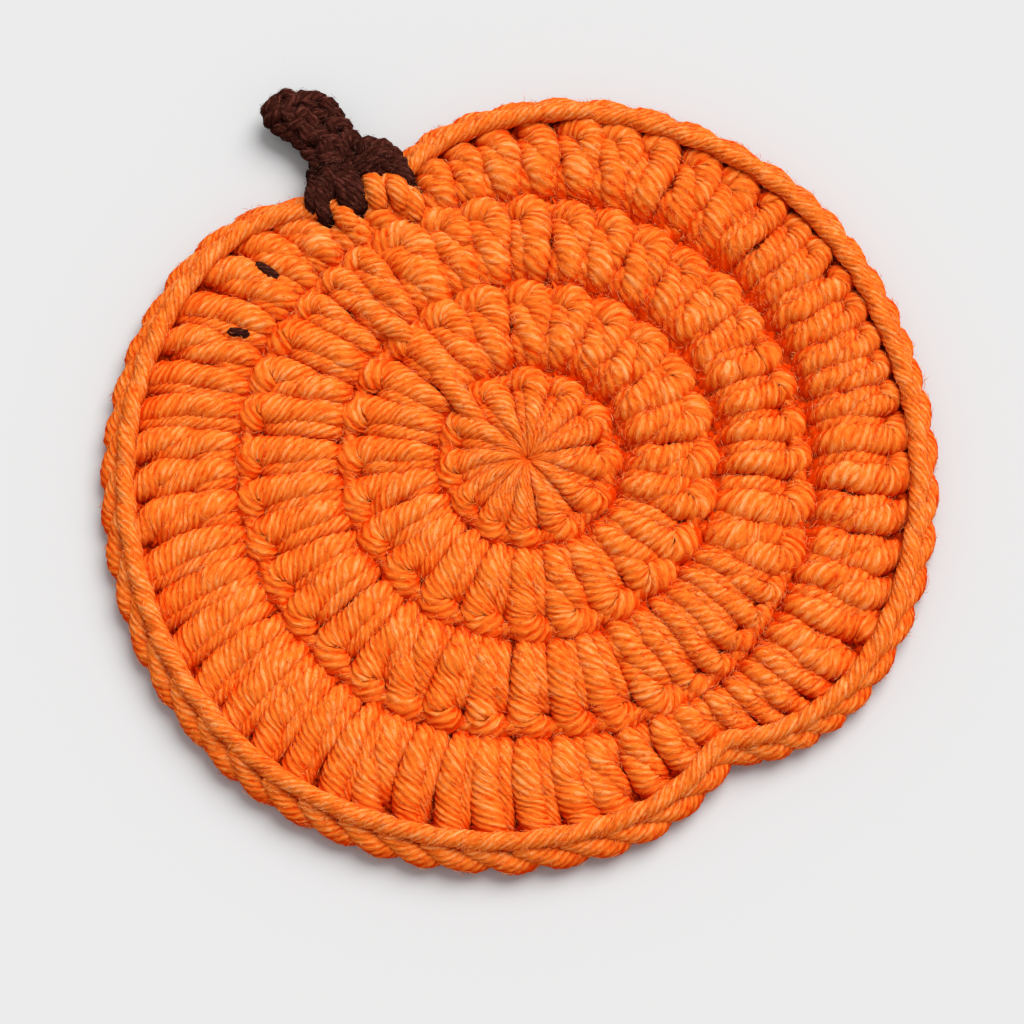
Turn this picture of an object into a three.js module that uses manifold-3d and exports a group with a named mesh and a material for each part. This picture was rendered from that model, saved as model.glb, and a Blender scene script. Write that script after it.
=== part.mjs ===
// Crochet coaster with the outline of a pumpkin and a short crocheted stem, lying flat.
//
// Lengths are in millimetres. The origin lies under the centre ring, on the flat underside,
// with +Y towards the stem and +Z up. A turn is an angle in degrees, clockwise from +Y as
// seen from above. The body is worked in four rounds of ribbed stitches inside a roped rim.

import * as THREE from "three";
import { mergeVertices } from "three/addons/utils/BufferGeometryUtils.js";
import Module from "manifold-3d";

// Heights of the body
const RIM_TOP = 5.7;
const RIB_TOP = 5.3;
const CENTRE_TOP = 4.7;
const ROUND_GROOVE = 3.4;
const ROPE_GROOVE = 4.3;
const CHAIN_MIDDLE = 1.9;
const CHAIN_TOP = 3.4;

// Depths and widths of the relief
const RIB_DEPTH = 1.2;
const FIRST_RIB_DEPTH = 0.72;
const ROPE_GROOVE_RIB = 0.6;
const ROPE_RIB = 0.25;
const CHAIN_RIB = 0.3;
const RIB_SHARPNESS = 0.7;
const RIB_LEAN = 2.0;
const CHAIN_SCALLOP = 0.7;
const UNDERSIDE_INSET = 1.3;
const CHAIN_WIDTH = 1.4;
const ROPE_INSET = 3.3;
const ROPE_HALF_WIDTH = 1.6;

// The surface has this many steps to each stitch of the outer round. Nearer the centre than
// the first radius the steps are even, and from the second on they follow those stitches.
const STEPS_PER_STITCH = 4;
const EVEN_STEPS_RADIUS = 20;
const STITCH_STEPS_RADIUS = 40;

// Section of a round from the heads of its stitches down to their feet: the share of the way
// out, how far the crest lies under the rib tops, and the shares of the rib depth and lean
const ROUND_SECTION = [
  { across: 0.84, under: 0.1, relief: 0.9, lean: -0.5 },
  { across: 0.5, under: 0, relief: 1, lean: 0 },
  { across: 0.14, under: 0.8, relief: 0.7, lean: 0.5 },
];
const FIRST_CREST = 0.6;

// Outer edge of the body
const OUTLINE = [
  { turn: 0, radius: 49.2 },
  { turn: 6, radius: 49.6 },
  { turn: 11, radius: 50.2 },
  { turn: 16, radius: 51.9 },
  { turn: 25, radius: 54.0 },
  { turn: 40, radius: 56.1 },
  { turn: 60, radius: 57.1 },
  { turn: 78, radius: 57.7 },
  { turn: 105, radius: 57.2 },
  { turn: 135, radius: 57.6 },
  { turn: 155, radius: 57.9 },
  { turn: 165, radius: 56.8 },
  { turn: 174, radius: 54.4 },
  { turn: 180, radius: 52.0 },
  { turn: 186, radius: 53.8 },
  { turn: 195, radius: 56.1 },
  { turn: 210, radius: 57.8 },
  { turn: 230, radius: 59.2 },
  { turn: 257, radius: 60.6 },
  { turn: 290, radius: 59.7 },
  { turn: 322, radius: 58.6 },
  { turn: 338, radius: 57.1 },
  { turn: 347, radius: 54.6 },
  { turn: 354, radius: 51.2 },
];

// Outer edges of the inner rounds
const FIRST_ROUND = [{ turn: 0, radius: 13.2 }];
const SECOND_ROUND = [{ turn: 0, radius: 26.3 }];
const THIRD_ROUND = [
  { turn: 0, radius: 40.2 },
  { turn: 30, radius: 39.3 },
  { turn: 75, radius: 39.1 },
  { turn: 122, radius: 39.5 },
  { turn: 155, radius: 41.2 },
  { turn: 175, radius: 42.3 },
  { turn: 195, radius: 40.8 },
  { turn: 213, radius: 39.8 },
  { turn: 246, radius: 41.4 },
  { turn: 290, radius: 40.7 },
  { turn: 325, radius: 40.4 },
];

// How many stitches lie between one turn and the next, for each round
const FIRST_STITCHES = [
  { from: 20, stitches: 6 },
  { from: 203, stitches: 3 },
  { from: 280, stitches: 3 },
];
const SECOND_STITCHES = [
  { from: 356, stitches: 24 },
];
const THIRD_STITCHES = [
  { from: 10, stitches: 8 },
  { from: 86, stitches: 5 },
  { from: 127, stitches: 2 },
  { from: 150, stitches: 5 },
  { from: 181, stitches: 2 },
  { from: 199, stitches: 5 },
  { from: 243, stitches: 10 },
  { from: 336, stitches: 3 },
  { from: 358, stitches: 1 },
];
const OUTER_STITCHES = [
  { from: 12, stitches: 2 },
  { from: 24.5, stitches: 7 },
  { from: 73, stitches: 5 },
  { from: 100, stitches: 3 },
  { from: 115, stitches: 2 },
  { from: 129, stitches: 5 },
  { from: 161, stitches: 4 },
  { from: 178, stitches: 4 },
  { from: 202, stitches: 3 },
  { from: 222, stitches: 6 },
  { from: 257, stitches: 6 },
  { from: 296, stitches: 5 },
  { from: 326, stitches: 4 },
  { from: 353, stitches: 3 },
];

// Stem. Its rows run from the base to the tip, each with its middle, its width and the turn
// that it faces.
const SEAM_GAP = 0.4;
const STEM_MIDDLE = 2.6;
const STEM_STITCH_SIDES = 8;
const STEM_STITCH_RINGS = 6;
const STEM_STITCH = { length: 1.9, height: 2.5, widthShare: 0.29 };
const STEM_ROWS = [
  { x: -1.6, y: 50.6, width: 7.2, turn: 6 },
  { x: 0.6, y: 52.9, width: 8.6, turn: 12 },
  { x: 2.0, y: 55.4, width: 9.0, turn: 10 },
  { x: 2.5, y: 57.9, width: 9.4, turn: -6 },
  { x: 2.1, y: 60.6, width: 9.2, turn: -30 },
  { x: 0.6, y: 62.8, width: 7.8, turn: -50 },
  { x: -1.7, y: 63.9, width: 5.6, turn: -66 },
];
// Stitches of the lobe beside the stem, and the legs that reach over the body's front
const STEM_BASE = [
  { x: 4.8, y: 51.6, z: 2.9, length: 2.1, width: 2.2, height: 2.6, turn: 40 },
  { x: 6.8, y: 50.6, z: 3.4, length: 2.1, width: 2.0, height: 2.6, turn: 60 },
  { x: 8.1, y: 48.4, z: 4.8, length: 2.3, width: 1.8, height: 2.3, turn: 155 },
  { x: 8.6, y: 46.1, z: 5.5, length: 2.0, width: 1.4, height: 1.8, turn: 172 },
  { x: -4.5, y: 48.3, z: 5.4, length: 2.8, width: 1.5, height: 1.8, turn: 172 },
  { x: -0.9, y: 48.1, z: 5.5, length: 2.6, width: 1.7, height: 1.8, turn: 175 },
];

const FULL_TURN = 360;
const CENTRE = [{ turn: 0, radius: 0 }];

const radians = THREE.MathUtils.degToRad;
const mix = THREE.MathUtils.lerp;
const wrap = (turn) => THREE.MathUtils.euclideanModulo(turn, FULL_TURN);

// Radius of a ring at any turn, on a smooth closed curve through the ring's rows
function ringRadius(ring, turn) {
  if (ring.length === 1) return ring[0].radius;
  const count = ring.length;
  const row = (i) => {
    const lap = Math.floor(i / count);
    const { turn: at, radius } = ring[i - lap * count];
    return { at: at + lap * FULL_TURN, radius };
  };
  const here = wrap(turn);
  let i = 0;
  while (i + 1 < count && ring[i + 1].turn <= here) i += 1;
  const [before, start, end, after] = [row(i - 1), row(i), row(i + 1), row(i + 2)];
  const span = end.at - start.at;
  const startSlope = ((end.radius - before.radius) / (end.at - before.at)) * span;
  const endSlope = ((after.radius - start.radius) / (after.at - start.at)) * span;
  const t = (here - start.at) / span;
  const rise = t * t * (3 - 2 * t);
  const bow = t * (1 - t) * (startSlope * (1 - t) - endSlope * t);
  return mix(start.radius, end.radius, rise) + bow;
}

const stitchTotal = (sections) => sections.reduce((sum, s) => sum + s.stitches, 0);

// Turn at which a stitch of a round begins, counted from the round's first section
function turnOfStitch(sections, stitch) {
  let left = stitch;
  for (let i = 0; i < sections.length; i += 1) {
    const next = i + 1 < sections.length ? sections[i + 1].from : sections[0].from + FULL_TURN;
    if (left <= sections[i].stitches || i + 1 === sections.length) {
      return mix(sections[i].from, next, left / sections[i].stitches);
    }
    left -= sections[i].stitches;
  }
  return sections[0].from;
}

// How far a turn lies between two valleys: 0 in a valley, 1 on the crest of a rib
function ribShape(sections, turn) {
  const start = sections[0].from;
  const here = start + wrap(turn - start);
  let stitch = 0;
  for (let i = 0; i < sections.length; i += 1) {
    const next = i + 1 < sections.length ? sections[i + 1].from : start + FULL_TURN;
    if (here < next) {
      stitch = ((here - sections[i].from) / (next - sections[i].from)) * sections[i].stitches;
      break;
    }
  }
  return Math.sin(Math.PI * (stitch - Math.floor(stitch))) ** RIB_SHARPNESS;
}

// Rows of a round between its inner and its outer ring
function roundRows(inner, outer, outerInset, sections) {
  return ROUND_SECTION.map(({ across, under, relief, lean }) => ({
    inner,
    outer,
    outerInset,
    sections,
    across,
    height: RIB_TOP - under,
    rib: relief * RIB_DEPTH,
    lean: lean * RIB_LEAN,
  }));
}

const ROPE_INNER_EDGE = ROPE_INSET + ROPE_HALF_WIDTH;

// Rows of the body's section, from the middle of the underside round the rim to the centre
// of the top, then reversed so that the turned faces point out. Each lies between an inner
// and an outer ring, and has its height and its relief.
const BODY_ROWS = [
  { inner: CENTRE, outer: CENTRE, height: 0 },
  { inner: CENTRE, outer: OUTLINE, across: 0.5, height: 0 },
  { inner: CENTRE, outer: OUTLINE, outerInset: UNDERSIDE_INSET, height: 0, edge: true },
  { inner: CENTRE, outer: OUTLINE, height: CHAIN_MIDDLE, scallop: CHAIN_SCALLOP, edge: true },
  {
    inner: CENTRE,
    outer: OUTLINE,
    outerInset: CHAIN_WIDTH,
    height: CHAIN_TOP,
    rib: CHAIN_RIB,
    edge: true,
  },
  {
    inner: CENTRE,
    outer: OUTLINE,
    outerInset: ROPE_INSET - ROPE_HALF_WIDTH,
    height: 0.5 * (CHAIN_TOP + RIM_TOP),
    edge: true,
  },
  { inner: CENTRE, outer: OUTLINE, outerInset: ROPE_INSET, height: RIM_TOP, rib: ROPE_RIB },
  {
    inner: CENTRE,
    outer: OUTLINE,
    outerInset: ROPE_INNER_EDGE,
    height: ROPE_GROOVE,
    rib: ROPE_GROOVE_RIB,
  },
  ...roundRows(THIRD_ROUND, OUTLINE, ROPE_INNER_EDGE, OUTER_STITCHES),
  { inner: CENTRE, outer: THIRD_ROUND, height: ROUND_GROOVE },
  ...roundRows(SECOND_ROUND, THIRD_ROUND, 0, THIRD_STITCHES),
  { inner: CENTRE, outer: SECOND_ROUND, height: ROUND_GROOVE },
  ...roundRows(FIRST_ROUND, SECOND_ROUND, 0, SECOND_STITCHES),
  { inner: CENTRE, outer: FIRST_ROUND, height: ROUND_GROOVE },
  {
    inner: CENTRE,
    outer: FIRST_ROUND,
    across: FIRST_CREST,
    height: RIB_TOP,
    rib: FIRST_RIB_DEPTH,
    sections: FIRST_STITCHES,
  },
  { inner: CENTRE, outer: CENTRE, height: CENTRE_TOP },
].reverse();

// Place of one point of the body, on a row of the section and at a step round it
function bodyPoint(row, step, steps, grow) {
  const { across = 1, outerInset = 0, rib = 0, scallop = 0, lean = 0 } = row;
  const sections = row.sections ?? OUTER_STITCHES;
  const evenTurn = OUTER_STITCHES[0].from + (FULL_TURN * step) / steps;
  const stitchTurn = turnOfStitch(OUTER_STITCHES, step / STEPS_PER_STITCH);
  const nominal = mix(ringRadius(row.inner, evenTurn), ringRadius(row.outer, evenTurn), across);
  const outward = THREE.MathUtils.smoothstep(nominal, EVEN_STEPS_RADIUS, STITCH_STEPS_RADIUS);
  const uprightTurn = mix(evenTurn, stitchTurn, outward);
  const turn = uprightTurn + lean;
  const valley = 1 - ribShape(sections, uprightTurn);
  const inner = ringRadius(row.inner, turn);
  const outer = ringRadius(row.outer, turn) - outerInset;
  const radius = mix(inner, outer, across) - scallop * valley;
  const height = row.height - rib * valley;
  return {
    radius: row.edge ? radius + grow : radius,
    height: height > 0 ? height + grow : -grow,
    turn: radians(turn),
  };
}

// The body as a turned section whose points are then moved to the outline and the stitches.
// With grow above 0 it is the body and a layer of that thickness round it.
function bodyGeometry(grow) {
  const steps = stitchTotal(OUTER_STITCHES) * STEPS_PER_STITCH;
  const section = BODY_ROWS.map((row, i) => new THREE.Vector2(i, row.height));
  const geometry = new THREE.LatheGeometry(section, steps);
  const position = geometry.getAttribute("position");
  for (let i = 0; i < position.count; i += 1) {
    const row = BODY_ROWS[i % BODY_ROWS.length];
    const step = Math.floor(i / BODY_ROWS.length) % steps;
    const { radius, height, turn } = bodyPoint(row, step, steps, grow);
    position.setXYZ(i, radius * Math.sin(turn), radius * Math.cos(turn), height);
  }
  geometry.deleteAttribute("normal");
  geometry.deleteAttribute("uv");
  return mergeVertices(geometry);
}

const wasm = await Module();
wasm.setup();

// A closed geometry as a solid that can be joined and cut
function solidOf(geometry) {
  const bare = geometry.clone();
  bare.deleteAttribute("normal");
  bare.deleteAttribute("uv");
  const merged = mergeVertices(bare);
  return new wasm.Manifold(
    new wasm.Mesh({
      numProp: 3,
      vertProperties: merged.getAttribute("position").array,
      triVerts: new Uint32Array(merged.index.array),
    }),
  );
}

// A solid's surface as a geometry for a mesh
function geometryOf(solid) {
  const mesh = solid.getMesh();
  const geometry = new THREE.BufferGeometry();
  geometry.setAttribute("position", new THREE.BufferAttribute(mesh.vertProperties, 3));
  geometry.setIndex(new THREE.BufferAttribute(mesh.triVerts, 1));
  geometry.computeVertexNormals();
  return geometry;
}

// One stitch as an egg of yarn, with its length along the given turn
function stitchSolid({ x, y, z, length, width, height, turn }) {
  const egg = new THREE.SphereGeometry(1, STEM_STITCH_SIDES, STEM_STITCH_RINGS);
  egg.rotateX(Math.PI / 2);
  egg.scale(width, length, height);
  egg.rotateZ(-radians(turn));
  egg.translate(x, y, z);
  return solidOf(egg);
}

// The stitches of one row of the stem, side by side across it
function stemRow({ x, y, width, turn }) {
  const across = new THREE.Vector2(Math.cos(radians(turn)), -Math.sin(radians(turn)));
  const halfWidth = width * STEM_STITCH.widthShare;
  return [-1, 0, 1].map((side) => {
    const aside = side * (width / 2 - halfWidth);
    return stitchSolid({
      x: x + across.x * aside,
      y: y + across.y * aside,
      z: STEM_MIDDLE,
      length: STEM_STITCH.length,
      width: halfWidth,
      height: STEM_STITCH.height,
      turn,
    });
  });
}

// The stem's stitches in one solid, cut clear of the body
function stemSolid() {
  const stitches = [...STEM_ROWS.flatMap(stemRow), ...STEM_BASE.map(stitchSolid)];
  const joined = stitches.reduce((whole, stitch) => whole.add(stitch));
  return joined.subtract(solidOf(bodyGeometry(SEAM_GAP)));
}

const bodyMaterial = new THREE.MeshStandardMaterial({
  color: new THREE.Color(0.94, 0.4, 0.1),
  roughness: 0.95,
  metalness: 0,
});
const stemMaterial = new THREE.MeshStandardMaterial({
  color: new THREE.Color(0.22, 0.11, 0.1),
  roughness: 0.95,
  metalness: 0,
});

const body = new THREE.Mesh(bodyGeometry(0), bodyMaterial);
body.name = "coaster_body";

const stem = new THREE.Mesh(geometryOf(stemSolid()), stemMaterial);
stem.name = "stem";

const coaster = new THREE.Group();
coaster.add(body, stem);

export default coaster;
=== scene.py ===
"""Crochet coaster with the outline of a pumpkin, dressed stitch by stitch.

Lengths are in millimetres until a mesh is made, in the frame of the CAD part: the origin lies
under the centre ring, with +Y towards the stem and +Z up. A turn is an angle in degrees,
clockwise from +Y as seen from above. Each stitch is drawn by short lengths of plied yarn.
"""

import math
from collections import namedtuple

import bpy
import numpy as np
from mathutils import Matrix, Vector


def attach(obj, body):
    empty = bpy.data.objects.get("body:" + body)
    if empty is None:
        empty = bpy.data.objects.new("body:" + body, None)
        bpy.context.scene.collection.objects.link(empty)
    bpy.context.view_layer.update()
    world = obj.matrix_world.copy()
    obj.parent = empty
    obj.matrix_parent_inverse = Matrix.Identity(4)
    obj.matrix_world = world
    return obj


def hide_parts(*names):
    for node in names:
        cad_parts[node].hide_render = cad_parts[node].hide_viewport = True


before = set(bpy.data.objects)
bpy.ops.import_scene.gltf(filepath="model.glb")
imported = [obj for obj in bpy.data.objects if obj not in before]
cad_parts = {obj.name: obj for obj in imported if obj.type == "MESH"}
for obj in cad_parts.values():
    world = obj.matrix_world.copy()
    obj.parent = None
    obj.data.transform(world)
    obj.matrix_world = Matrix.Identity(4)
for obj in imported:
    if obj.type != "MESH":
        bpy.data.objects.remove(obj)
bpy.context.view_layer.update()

MM = 0.001
FULL_TURN = 360.0
SEED = 20
rng = np.random.default_rng(SEED)
fuzz_rng = np.random.default_rng(SEED + 1)

# Camera
CAMERA_ELEVATION = 72.0
CAMERA_AZIMUTH = -32.7
CAMERA_DISTANCE = 420.0
CAMERA_FOCAL = 106.6
CAMERA_SENSOR = 36.0
CAMERA_AIM = (-2.078, -7.895)
AIM_HEIGHT = 5.0
NEAREST_SEEN = 0.01
FURTHEST_SEEN = 10

# Light and floor: one broad soft lamp, and the same light from all round
KEY_DIRECTION = (0.55, 0.22, 0.77)
KEY_STRENGTH = 3.28
KEY_SPREAD = 48
SKY_STRENGTH = 0.55
FLOOR_SHADE = 0.608
FLOOR_HALF_WIDTH = 3.0

# Heights of the body: its highest ribs, and the lowest yarn of its underside
RIB_TOP = 5.3
UNDERSIDE = 0.09

# Yarn: its size, the depth of the grooves between its plies as a share of it, and a ply's width
YARN_RADIUS = 1.68
GIRTH = 2 * math.pi * YARN_RADIUS
PLY_DEPTH = 0.11
PLY_WIDTH = 0.85
PLY_ROUNDNESS = 1.4
# Yarn is pressed flat to this share of its height, and where it is wide to this half thickness
SQUASH = 0.92
HALF_THICKEST = 1.72
# The middle of a yarn lies at least its half thickness times this over the floor
FRONT_CLEARANCE = 1.08
BACK_CLEARANCE = 1.06
# Painted shade: the wool is painted darker and redder down to this far below the top of the cloth,
# this strongly
PAINTED_SHADE_DEPTH = 2.4
PAINTED_SHADE_STRENGTH = 2.0

# The yarn's twist: how far along it one ply takes the place of the next, by the share of the way
# out from the foot of its stitch
LEAD_PLACES = [0.0, 0.45, 0.9]
LEADS = [1.45, 1.05, 0.88]
# The yarn lies tight, with few plies to a turn of its twist, on one side of the coaster
PLY_TURNS = [0, 50, 170, 205, 325, 360]
PLY_COUNTS = [6, 5, 5, 8, 8, 6]

# How each kind of yarn is made: its plies, the mesh columns to a ply, the length of a mesh step
# for each ply, and the height from which the depth of its painted shade counts down, or None
# where that counts up from the underside
Make = namedtuple("Make", "plies columns step crown")
STITCH_MAKE = Make(8, 4, 0.09, RIB_TOP)
RIM_MAKE = Make(8, 4, 0.09, 0.0)
BACK_MAKE = Make(8, 2, 0.22, None)
STEM_MAKE = Make(6, 3, 0.1, 0.0)

# Slow waves along the plies: how far a ply swells, how far it slips round the yarn, its shade,
# and the depth of its grooves
Wave = namedtuple("Wave", "height shortest longest")
SWELL = Wave(0.04, 2.5, 6)
SLIP = Wave(0.1, 4, 9)
SHADE = Wave(1.0, 5, 14)
GROOVE_DEPTH = Wave(0.4, 3, 7)
# A swollen ply is painted this much lighter on its crest, as painted highlight
SWELL_HIGHLIGHT = 2
# Each length of yarn starts at its own place in the wool's pattern, at most this far along
PATTERN_LENGTH = 100

# A smooth curve has this many points between two of its rows, and a length at least this many
CURVE_STEPS = 8
FEWEST_ROWS = 4

# How unevenly the stitches lie: sideways as shares of their width, in height and in size
TILT_SPREAD = 0.025
ASIDE_SPREAD = 0.02
HEIGHT_SPREAD = 0.1
SIZE_SPREAD = 0.03
LOBE_SPREAD = 0.06
LOBE_SIZE_SPREAD = 0.02

# Outer edge of the body
Ring = namedtuple("Ring", "turn radius")
OUTLINE = [
    Ring(0, 49.2), Ring(6, 49.6), Ring(11, 50.2), Ring(16, 51.9), Ring(25, 54.0), Ring(40, 56.1),
    Ring(60, 57.1), Ring(78, 57.7), Ring(105, 57.2), Ring(135, 57.6), Ring(155, 57.9),
    Ring(165, 56.8), Ring(174, 54.4), Ring(180, 52.0), Ring(186, 53.8), Ring(195, 56.1),
    Ring(210, 57.8), Ring(230, 59.2), Ring(257, 60.6), Ring(290, 59.7), Ring(322, 58.6),
    Ring(338, 57.1), Ring(347, 54.6), Ring(354, 51.2),
]

# Outer edges of the inner rounds
CENTRE = [Ring(0, 0.1)]
FIRST_ROUND = [Ring(0, 13.2), Ring(45, 13.7), Ring(120, 13.5), Ring(210, 13.1), Ring(300, 12.5)]
SECOND_ROUND = [Ring(0, 26.4), Ring(90, 26.8), Ring(180, 26.4), Ring(270, 26.1)]
THIRD_ROUND = [
    Ring(0, 40.2), Ring(30, 39.7), Ring(75, 39.7), Ring(122, 39.9), Ring(155, 41.0),
    Ring(175, 41.8), Ring(195, 40.7), Ring(213, 39.9), Ring(246, 40.8), Ring(290, 40.5),
    Ring(325, 40.3),
]

# A stitch's foot is drawn this share of the way to the middle of the stitch below it
FOOT_PULL = 0.15
# How many stitches lie between one turn and the next, for each round
Section = namedtuple("Section", "start stitches")
FIRST_STITCHES = [Section(20, 6), Section(203, 3), Section(280, 3)]
SECOND_STITCHES = [Section(356, 24)]
THIRD_STITCHES = [
    Section(10, 8), Section(86, 5), Section(127, 2), Section(150, 5), Section(181, 2),
    Section(199, 5), Section(243, 10), Section(336, 3), Section(358, 1),
]
OUTER_STITCHES = [
    Section(12, 2), Section(24.5, 7), Section(73, 5), Section(100, 3), Section(115, 2),
    Section(129, 5), Section(161, 4), Section(178, 4), Section(202, 3), Section(222, 6),
    Section(257, 6), Section(296, 5), Section(326, 4), Section(353, 3),
]

# Lengths of yarn in a stitch. For each bend: the share of the stitch's width clockwise from its
# middle, the share of the way from the foot of the round to its edge, how far the yarn's top lies
# below the rib tops, and its radius as a share of the stitch's width.
STRAIGHT_LEG = [
    (-0.20, -0.06, 3.00, 0.27), (-0.24, 0.01, 2.10, 0.29), (-0.27, 0.07, 1.25, 0.30),
    (-0.29, 0.15, 0.60, 0.30), (-0.31, 0.27, 0.30, 0.28), (-0.32, 0.45, 0.50, 0.26),
    (-0.32, 0.62, 0.95, 0.24), (-0.33, 0.76, 1.90, 0.21),
]
LONG_POST = [
    (-0.38, 0.88, 1.50, 0.33), (-0.27, 0.91, 0.95, 0.37), (-0.10, 0.91, 0.62, 0.40),
    (0.06, 0.88, 0.50, 0.42), (0.13, 0.77, 0.40, 0.43), (0.15, 0.61, 0.22, 0.43),
    (0.14, 0.47, 0.00, 0.43), (0.15, 0.34, -0.28, 0.42), (0.16, 0.23, -0.25, 0.41),
    (0.17, 0.14, 0.15, 0.39), (0.17, 0.07, 0.90, 0.37), (0.17, 0.01, 1.70, 0.34),
    (0.17, -0.06, 2.70, 0.30),
]
CROSSED_LEG = [
    (0.12, -0.06, 2.70, 0.32), (0.14, 0.01, 1.70, 0.36), (0.14, 0.07, 0.90, 0.39),
    (0.13, 0.14, 0.20, 0.41), (0.10, 0.24, -0.20, 0.42), (0.02, 0.37, -0.15, 0.40),
    (-0.12, 0.52, 0.20, 0.36), (-0.24, 0.65, 0.60, 0.32), (-0.33, 0.75, 1.30, 0.29),
    (-0.38, 0.83, 2.20, 0.26),
]
SHORT_LOBE = [
    (-0.46, 0.88, 1.70, 0.32), (-0.34, 0.90, 1.05, 0.36), (-0.14, 0.91, 0.65, 0.39),
    (0.05, 0.89, 0.50, 0.40), (0.18, 0.79, 0.40, 0.39), (0.24, 0.65, 0.30, 0.37),
    (0.29, 0.53, 0.50, 0.33), (0.34, 0.42, 1.10, 0.28), (0.36, 0.33, 2.00, 0.24),
]
LEFT_FOOT = [
    (-0.26, -0.06, 3.00, 0.26), (-0.29, 0.01, 2.10, 0.28), (-0.31, 0.08, 1.10, 0.29),
    (-0.33, 0.18, 0.60, 0.29), (-0.33, 0.32, 0.80, 0.26), (-0.30, 0.48, 1.90, 0.22),
]
RIGHT_FOOT = [
    (0.44, 0.02, 2.40, 0.22), (0.41, 0.12, 1.20, 0.26), (0.39, 0.26, 0.80, 0.26),
    (0.34, 0.42, 1.70, 0.23),
]
# The outer round's stitches lean to the left as they run on under the rope
OUTER_LEG = [
    (-0.20, -0.06, 3.00, 0.27), (-0.24, 0.01, 2.10, 0.29), (-0.27, 0.07, 1.25, 0.30),
    (-0.30, 0.15, 0.60, 0.30), (-0.33, 0.28, 0.35, 0.28), (-0.36, 0.48, 0.60, 0.25),
    (-0.38, 0.66, 0.95, 0.23), (-0.41, 0.82, 1.30, 0.22), (-0.45, 0.97, 1.70, 0.22),
    (-0.50, 1.10, 2.60, 0.20),
]
OUTER_POST = [
    (0.17, -0.06, 2.70, 0.30), (0.17, 0.01, 1.70, 0.34), (0.17, 0.07, 0.90, 0.37),
    (0.17, 0.14, 0.15, 0.39), (0.17, 0.24, -0.25, 0.41), (0.16, 0.36, -0.28, 0.43),
    (0.13, 0.54, 0.10, 0.43), (0.05, 0.70, 0.40, 0.43), (-0.05, 0.84, 0.70, 0.42),
    (-0.16, 0.97, 1.05, 0.40), (-0.26, 1.10, 1.70, 0.37),
]
OUTER_LOBE = [
    (-0.30, 1.10, 1.80, 0.31), (-0.20, 0.99, 1.00, 0.36), (-0.04, 0.89, 0.60, 0.40),
    (0.10, 0.79, 0.30, 0.41), (0.19, 0.66, 0.10, 0.39), (0.27, 0.52, 0.35, 0.34),
    (0.34, 0.38, 1.20, 0.28), (0.36, 0.28, 2.10, 0.24),
]
STRAIGHT_STITCH = [STRAIGHT_LEG, LONG_POST]
CROSSED_STITCH = [LEFT_FOOT, RIGHT_FOOT, CROSSED_LEG, SHORT_LOBE]
OUTER_STITCH = [OUTER_LEG, OUTER_POST]
OUTER_CROSSED_STITCH = [LEFT_FOOT, RIGHT_FOOT, CROSSED_LEG, OUTER_LOBE]

# The share of crossed stitches is greatest at one turn and least across from it
MOST_CROSSED_TURN = 50
LEAST_CROSSED = 0.15
CROSSED_RANGE = 0.75
CROSSED_SHARPNESS = 1.2

# The centre's stitches taper to the ring
CENTRE_LEG = [
    (-0.22, 0.01, 1.90, 0.42), (-0.23, 0.12, 1.00, 0.32), (-0.25, 0.30, 0.45, 0.30),
    (-0.27, 0.50, 0.55, 0.28), (-0.28, 0.68, 1.00, 0.26), (-0.30, 0.82, 2.20, 0.24),
]
CENTRE_POST = [
    (-0.44, 0.88, 1.60, 0.34), (-0.28, 0.91, 1.00, 0.37), (-0.08, 0.92, 0.65, 0.39),
    (0.09, 0.85, 0.45, 0.40), (0.13, 0.70, 0.20, 0.40), (0.15, 0.52, -0.10, 0.39),
    (0.18, 0.34, -0.15, 0.37), (0.22, 0.14, 0.70, 0.34), (0.24, 0.01, 1.70, 0.42),
]
CENTRE_STITCH = [CENTRE_LEG, CENTRE_POST]

# On one side of the coaster the feet of the stitches lie deeper than in the tables above, by so
# much at each share of the way out, and the heads end sooner, which opens the grooves there
FOOT_PLACES = [0.0, 0.04, 0.10, 0.17, 0.25, 0.33, 0.42]
FOOT_DROPS = [1.0, 1.2, 1.2, 0.95, 0.55, 0.2, 0.0]
GROOVE_TURNS = [0, 20, 40, 60, 120, 140, 160, 190, 220, 345, 360]
GROOVE_SHARES = [0.15, 0.3, 0.65, 1.0, 1.0, 0.6, 0.4, 0.2, 0.1, 0.1, 0.15]
GROOVE_INSET = 0.85

# The back of a stitch: two plain legs and the bar across their heads
BACK_THICKEST = 1.35
BACK_STITCH = [
    [
        (-0.20, -0.02, 1.2, 0.24), (-0.22, 0.15, 0.3, 0.26), (-0.22, 0.50, 0.1, 0.26),
        (-0.20, 0.80, 0.5, 0.24), (-0.18, 0.94, 1.4, 0.22),
    ],
    [
        (0.22, -0.02, 1.2, 0.24), (0.22, 0.15, 0.4, 0.26), (0.20, 0.50, 0.2, 0.26),
        (0.20, 0.80, 0.6, 0.24), (0.18, 0.94, 1.4, 0.22),
    ],
    [
        (-0.55, 0.84, 1.3, 0.18), (-0.30, 0.92, 0.2, 0.21), (0.00, 0.95, 0.0, 0.22),
        (0.30, 0.98, 0.2, 0.21), (0.55, 1.04, 1.3, 0.18),
    ],
]

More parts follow.
